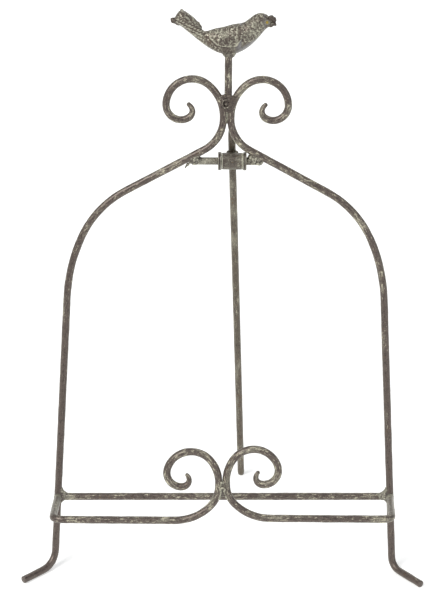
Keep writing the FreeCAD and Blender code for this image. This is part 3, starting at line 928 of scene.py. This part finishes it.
neck_feathers = feathers((-0.78, -0.62), 2.7, 2.6, 0.45, 1.5, 5)
flank = ease(-u, 3.0, 6.0) * (1 - wing) * (1 - ease(-u, 16.5, 18.5))
flank_feathers = feathers((-0.9, 0.44), 3.0, 2.2, 0.4, 1.2, 7)
tail = ease(-u, 15.5, 18.5)
tail_edge = v + 0.50 * u - 5.7 + 0.25 * broad_cast
band = ease(-tail_edge, -0.2, 0.4) * tail
quills = (u * 0.45 + v * 0.893) / 2.0 + 0.12 * wobble(0.3, 9)
ridges = np.abs(np.sin(np.pi * quills)) ** 0.7
barbs = np.sin(np.pi * 2 * ((-u * 0.30 + v * 0.95) / 1.5 + 0.3 * ridges))
lobe = ease(tail_edge, 0, 0.5) * tail
lobe_ridges = np.abs(np.sin(np.pi * (u * 0.78 + v * 0.62) / 2.4 + 0.5 * broad_cast))
from_eye = np.hypot(u - 25.7, v - 20.0)
near_eye = from_eye < 4
mouth = np.exp(-((v - 20.15 - 0.05 * (u - 29)) / 0.5) ** 2) * ease(u, 28.0, 29.2)
nostril = np.exp(-(((u - 29.0) / 0.9) ** 2 + ((v - 20.1) / 0.8) ** 2))

relief = (wing * (0.44 * wing_feathers - 0.17) * (1 - ease(panel, -0.3, 0.2)) + 0.24 * rim
          + ease(panel, -0.5, 0.3) * (0.24 * wobble(0.9, 11) - 0.12)
          + neck * (0.40 * neck_feathers - 0.16) + flank * (0.34 * flank_feathers - 0.12)
          + band * (0.42 * ridges + 0.10 * barbs - 0.22) + lobe * (0.22 * lobe_ridges - 0.04)
          - 0.22 * np.exp(-((inside + 0.55) / 0.4) ** 2) * ease(-v, -11.0, -6.0))
raise_wing = 0.35 * wing + 0.55 * band - 0.55 * lobe
relief_calm = 1 - ease(u, 22, 24.5)
relief = relief * relief_calm + (1 - relief_calm) * (0.42 * wobble(1.0, 13) - 0.08)
relief += 0.22 * rough_cast * (1 - 0.7 * ease(u, 3.0, 8.0) * (1 - neck)) + 0.08 * broad_cast
relief -= 0.75 * mouth + 0.55 * nostril
eye_ball = np.sqrt(np.clip(1 - (from_eye / 1.15) ** 2, 0, 1))
eye_ring = np.exp(-((from_eye - 1.5) / 0.34) ** 2)
relief = np.where(near_eye, relief * ease(from_eye, 1.4, 2.6) + 0.55 * eye_ball + 0.14 * eye_ring
                  - 0.25 * np.exp(-((from_eye - 1.12) / 0.22) ** 2), relief)
shift = relief * (0.35 + 0.65 * sideways) + raise_wing * sideways * 0.6
places = places + outs * shift[:, None] * mm
past = (places - np.array(stem_top)) @ np.array((1, 0, 0)) / mm
# A beak that came out too long is pressed back to its end.
beak_end, pressed = 32.0, 0.86
places[:, 0] -= np.clip(past - beak_end, 0, None) * pressed * mm
cast.vertices.foreach_set("co", places.ravel())
bare_beak = ease(u, 27.0, 28.4) * (1 - np.exp(-(((u - 29.6) / 1.5) ** 2 + ((v - 20.3) / 1.0) ** 2)))
belly = ease(u, 3.0, 8.0) * (1 - ease(u, 22.0, 26.0)) * (1 - wing) * (1 - neck)
# The painted highlight and shade follow the relief, but the nostril and the slit of the beak are painted pale
# and the end of the tail darker.
painted_relief = relief + 1.0 * nostril + 0.35 * mouth - 0.22 * ease(-u, 34.5, 37.0)
for title, values in (("relief", painted_relief), ("eye", np.where(near_eye, from_eye, 9.0)),
                      ("beak", bare_beak), ("belly", belly)):
    kept = cast.attributes.new(title, "FLOAT", "POINT")
    kept.data.foreach_set("value", values.astype(np.float32))

bird_finish = weathered("cast bird", (0.125, 0.100, 0.080), (0.235, 0.225, 0.175), (0.55, 0.53, 0.40),
                        cover=0.62, strokes=0.36, rust=0.3, reach=0.19,
                        highlight_colour=(0.50, 0.485, 0.38), shade_colour=(0.060, 0.043, 0.036))
tree = Wiring(bird_finish.node_tree)
surface = bird_finish.node_tree.nodes["Principled BSDF"]
painted = surface.inputs["Base Color"].links[0].from_socket
belly = tree.add("Attribute", attribute_name="belly").outputs["Fac"]
colour = tree.mix(tree.times(belly, 0.6), painted, (0.27, 0.27, 0.28, 1))
beak = tree.add("Attribute", attribute_name="beak").outputs["Fac"]
colour = tree.mix(tree.times(beak, 0.3), colour, (0.05, 0.037, 0.035, 1))
eye = tree.add("Attribute", attribute_name="eye").outputs["Fac"]
colour = tree.mix(tree.times(tree.step(eye, 1.75, 1.35), 0.75), colour, (0.33, 0.31, 0.24, 1))
colour = tree.mix(tree.step(eye, 1.15, 0.95), colour, (0.09, 0.06, 0.035, 1))
colour = tree.mix(tree.step(eye, 0.92, 0.70), colour, (0.42, 0.30, 0.04, 1))
colour = tree.mix(tree.times(tree.step(eye, 0.38, 0.2), 0.6), colour, (0.06, 0.035, 0.012, 1))
bird_finish.node_tree.links.new(colour, surface.inputs["Base Color"])
bird = add_object("bird_finial_cast", cast, bird_finish)
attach(bird, "frame")
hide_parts("bird_finial")
